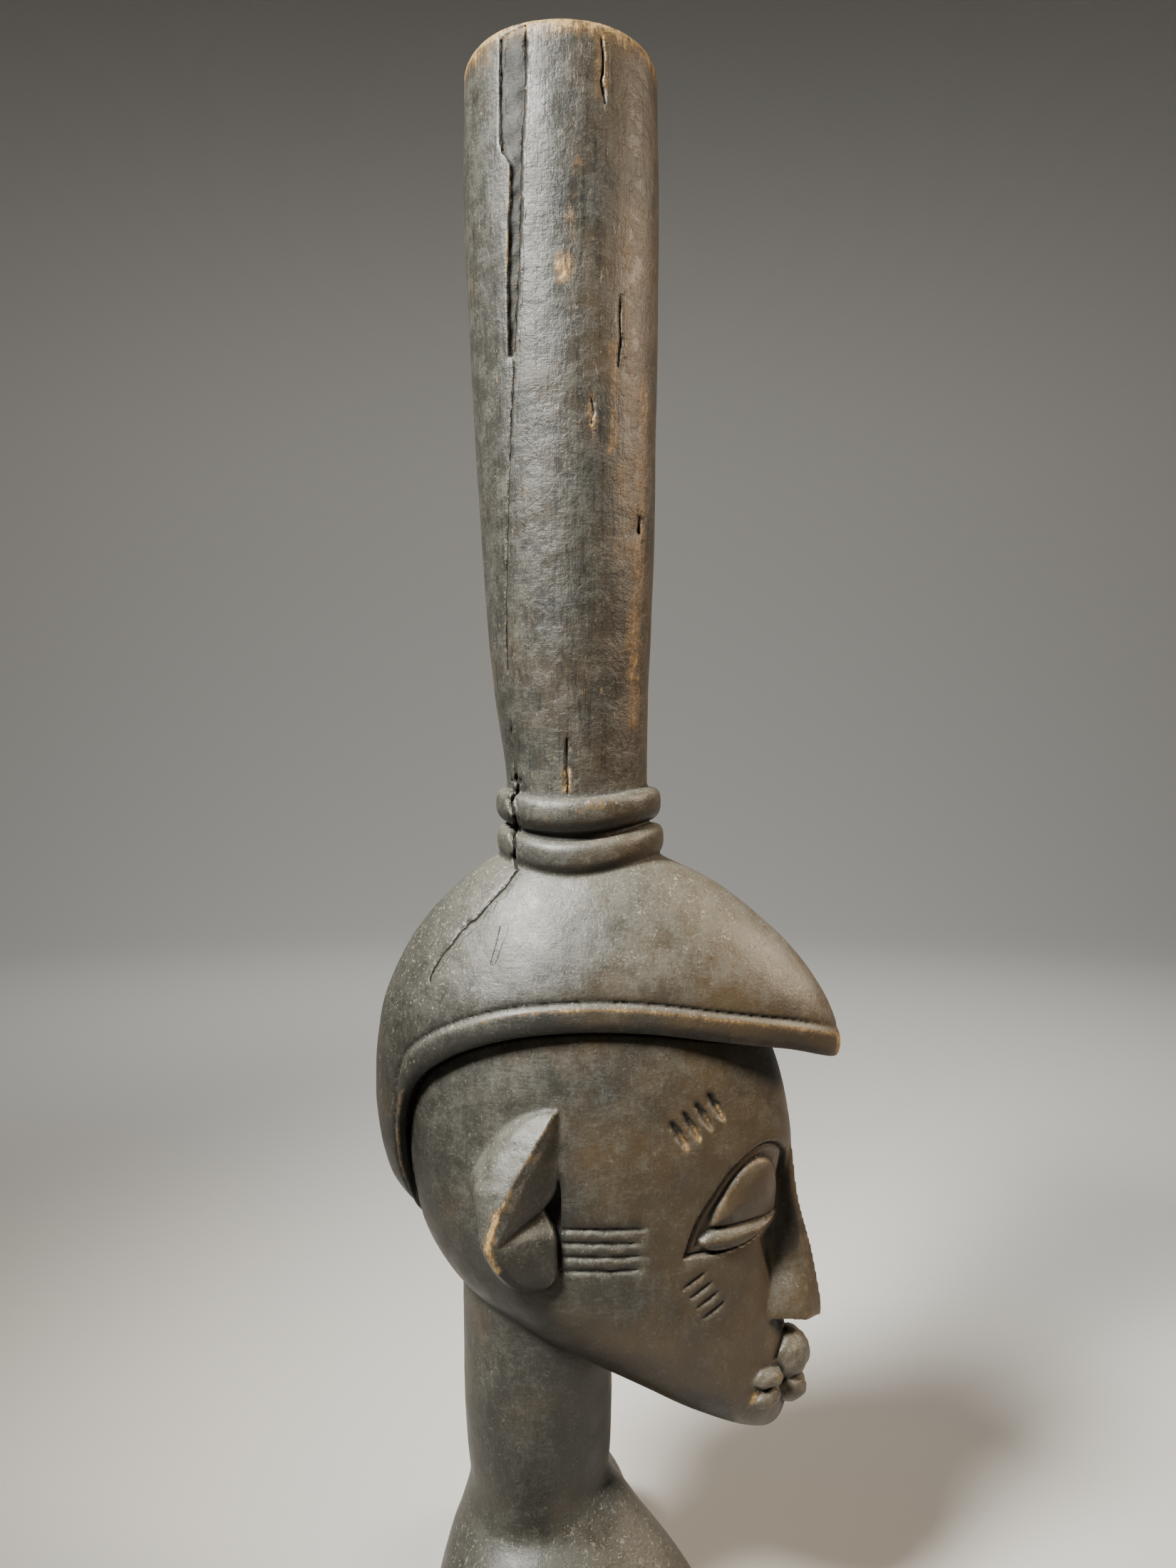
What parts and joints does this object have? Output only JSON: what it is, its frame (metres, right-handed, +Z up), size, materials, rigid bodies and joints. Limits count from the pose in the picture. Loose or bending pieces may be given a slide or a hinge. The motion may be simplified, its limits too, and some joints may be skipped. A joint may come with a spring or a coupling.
{
  "type": "senufo deble figure bust",
  "caption": "Carved dark wooden bust: head in profile with a crested helmet cap, ringed tall shaft on top, slim neck and rounded shoulders cut flat below.",
  "frame": {"origin": "centre of the flat underside", "axes": "+Z up along the neck and the shaft, face towards -Y, the bust's right side towards -X"},
  "size_m": [0.1896, 0.1835, 0.627],
  "materials": {
    "patinated_wood": "dense hardwood, adzed and scraped smooth, dark grey-brown patina with a low waxed sheen, worn to tan on the edges"
  },
  "bodies": {
    "root": {"figure": "patinated_wood"}
  },
  "joints": []
}
